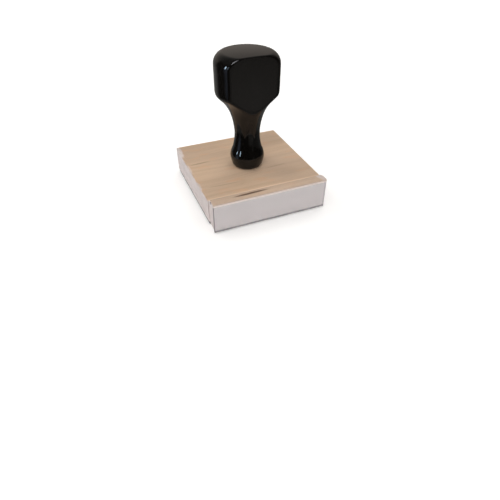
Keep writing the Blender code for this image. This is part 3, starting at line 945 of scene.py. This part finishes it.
def make_die():
    """Engraved rubber die: base, raised plain frame and four plain bars."""
    low, high = node_box("rubber_die")
    outline = rounded_rectangle(low, high, 0.8, 3.0)
    die = prism("die", outline, "Z", DIE_FLOOR, high[2], RUBBER_EDGE, wander=0.02, seed=11.0)
    outer = (low[0] + FRAME_INSET, low[1] + FRAME_INSET), (high[0] - FRAME_INSET, high[1] - FRAME_INSET)
    inner = [(x + side * FRAME_LINE, y + side * FRAME_LINE) for (x, y), side in zip(outer, (1, -1))]
    frame_solid = tapered("frame", rounded_rectangle(*outer, 0.8, 4.0), 0.04, low[2], DIE_ROOT)
    levels = (
        (low[2] - 0.5, RUBBER_EDGE), (low[2], RUBBER_EDGE), (low[2] + RUBBER_EDGE, 0.0),
        (DIE_FLOOR, -0.25), (DIE_ROOT + 0.5, -0.3),
    )
    window = rounded_rectangle(*inner, 1.0, 4.0)
    rings = [np.column_stack([inset_outline(window, -out), np.full(len(window), z)]) for z, out in levels]
    join_solids(frame_solid, grid_object("window", rings), "DIFFERENCE")
    join_solids(die, frame_solid, "UNION")
    middle_x, middle_y = (low[0] + high[0]) / 2, (low[1] + high[1]) / 2
    for number, length in enumerate(BAR_LENGTHS):
        y = middle_y + BAR_PITCH * (1.5 - number)
        ends = (middle_x - length / 2, y - BAR_HALF), (middle_x + length / 2, y + BAR_HALF)
        bar = rounded_rectangle(*ends, 0.9, 4.0)
        join_solids(die, tapered(f"bar_{number}", bar, 0.3, low[2], DIE_ROOT), "UNION")
    shade(die)
    return finish_piece(die, rubber(DIE_FLOOR), "die", ["rubber_die"])


# ==============================================================================
# Studio
# ==============================================================================
def make_camera():
    """The camera at the photographer's place, looking along yaw, pitch and roll."""
    data = bpy.data.cameras.new("camera")
    data.lens, data.sensor_width = CAMERA_LENS, 36.0
    data.clip_start, data.clip_end = 0.01, 20.0
    camera = bpy.data.objects.new("camera", data)
    bpy.context.scene.collection.objects.link(camera)
    camera.location = Vector(CAMERA_PLACE) * MM
    turn = Euler(
        (math.radians(90 - CAMERA_PITCH), 0.0, math.radians(-CAMERA_YAW)), "XYZ",
    ).to_matrix()
    roll = Euler((0.0, 0.0, math.radians(CAMERA_ROLL))).to_matrix()
    camera.rotation_euler = (turn @ roll).to_euler()
    bpy.context.scene.camera = camera


def softbox(name, place, size, power, color):
    """A soft rectangular lamp aimed at the object; lengths in metres, power in watts."""
    data = bpy.data.lights.new(name, "AREA")
    data.shape = "RECTANGLE"
    data.size, data.size_y = size
    data.energy, data.color = power, color
    lamp = bpy.data.objects.new(name, data)
    bpy.context.scene.collection.objects.link(lamp)
    lamp.location = place
    lamp.rotation_euler = (Vector(AIM) - Vector(place)).to_track_quat("-Z", "Y").to_euler()
    return lamp


def make_surround():
    """World light: a warm band above the horizon, dim left, right and in front."""
    world = bpy.data.worlds.new("surround")
    world.use_nodes = True
    tree = world.node_tree

    def add(kind, inputs, **settings):
        node = tree.nodes.new(kind)
        for key, value in settings.items():
            setattr(node, key, value)
        for key, value in inputs.items():
            if isinstance(value, bpy.types.NodeSocket):
                tree.links.new(value, node.inputs[key])
            else:
                node.inputs[key].default_value = value
        return node

    def toward(axis, start, end, least):
        """1 away from an axis, falling to least as the direction turns to it."""
        along = add("ShaderNodeVectorMath", {0: direction, 1: axis}, operation="DOT_PRODUCT")
        return fade(along.outputs["Value"], start, end, 1.0, least)

    def fade(value, start, end, before, after):
        return add(
            "ShaderNodeMapRange",
            {"Value": value, "From Min": start, "From Max": end, "To Min": before, "To Max": after},
            interpolation_type="SMOOTHSTEP",
        ).outputs["Result"]

    def join(operation, first, second):
        return add("ShaderNodeMath", {0: first, 1: second}, operation=operation).outputs[0]

    direction = add("ShaderNodeTexCoord", {}).outputs["Generated"]
    rise = add("ShaderNodeSeparateXYZ", {0: direction}).outputs["Z"]
    height = add("ShaderNodeMapRange", {"Value": rise, "From Min": -1.0})
    ramp = add("ShaderNodeValToRGB", {0: height.outputs["Result"]})
    stops = ramp.color_ramp.elements
    stops[0].position, stops[0].color = 0.0, (*SURROUND[0][1], 1.0)
    stops[1].position, stops[1].color = 1.0, (*SURROUND[-1][1], 1.0)
    for sine, color in SURROUND[1:-1]:
        stops.new((sine + 1) / 2).color = (*color, 1.0)

    front = join("MAXIMUM", toward(FRONT, 0.0, 0.5, 0.15), fade(rise, -0.18, -0.10, 1.0, 0.0))
    share = join("MULTIPLY", toward(LEFT, 0.22, 0.50, 0.08), front)
    share = join("MULTIPLY", toward(RIGHT, 0.05, 0.85, 0.40), share)
    share = join("MAXIMUM", share, fade(rise, 0.35, 0.8, 0.0, 1.0))
    share = join("MAXIMUM", share, fade(rise, -0.60, -0.45, 1.0, 0.0))
    light = add(
        "ShaderNodeVectorMath", {0: ramp.outputs[0], "Scale": share}, operation="SCALE",
    ).outputs[0]
    for center, half_size, color in GLOW:
        place = add("ShaderNodeMapping", {"Vector": direction}, vector_type="TEXTURE")
        place.inputs["Location"].default_value = center
        place.inputs["Scale"].default_value = half_size
        patch = add("ShaderNodeTexGradient", {0: place.outputs[0]}, gradient_type="SPHERICAL")
        glow = add(
            "ShaderNodeVectorMath", {0: color, "Scale": patch.outputs[1]}, operation="SCALE",
        )
        light = add("ShaderNodeVectorMath", {0: light, 1: glow.outputs[0]}).outputs[0]
    seen = add("ShaderNodeLightPath", {}).outputs["Is Camera Ray"]
    shown = add("ShaderNodeMix", {0: seen, 6: light, 7: PALE}, data_type="RGBA")
    tree.links.new(shown.outputs[2], tree.nodes["Background"].inputs[0])
    bpy.context.scene.world = world


def make_studio():
    """Pale floor, soft surround, a ring of soft lamps, a window and a skylight."""
    bpy.ops.mesh.primitive_grid_add(x_subdivisions=8, y_subdivisions=8, size=FLOOR_SIZE)
    floor = bpy.context.object
    floor.name = "floor"
    floor.data.materials.append(floor_paper())
    floor.visible_glossy = False        # black gloss mirrors the dim surround, not the paper
    make_surround()

    for azimuth, elevation, power in LAMPS:
        turn, tilt = math.radians(azimuth), math.radians(elevation)
        level = math.cos(tilt)
        away = Vector((math.sin(turn) * level, math.cos(turn) * level, math.sin(tilt)))
        lamp = softbox(f"softbox_{azimuth}", away * LAMP_DISTANCE, LAMP_SIZE, power, LAMP_COLOR)
        lamp.visible_glossy = False     # soft light without hard mirror images
    glints = [
        softbox(f"window_{number}", place, PANE_SIZE, WINDOW_POWER, PANE_COLOR)
        for number, place in enumerate(PANES)
    ]
    glints.append(softbox("skylight", SKYLIGHT_PLACE, SKYLIGHT_SIZE, SKYLIGHT_POWER, SKYLIGHT_COLOR))
    for glint in glints:
        glint.visible_diffuse = False   # it shows in the gloss and tints nothing
    bpy.context.scene.view_settings.view_transform = "Standard"


make_camera()
make_knob()
make_insert()
make_stud()
make_block()
make_rail()
make_front()
make_layers()
make_die()
make_studio()
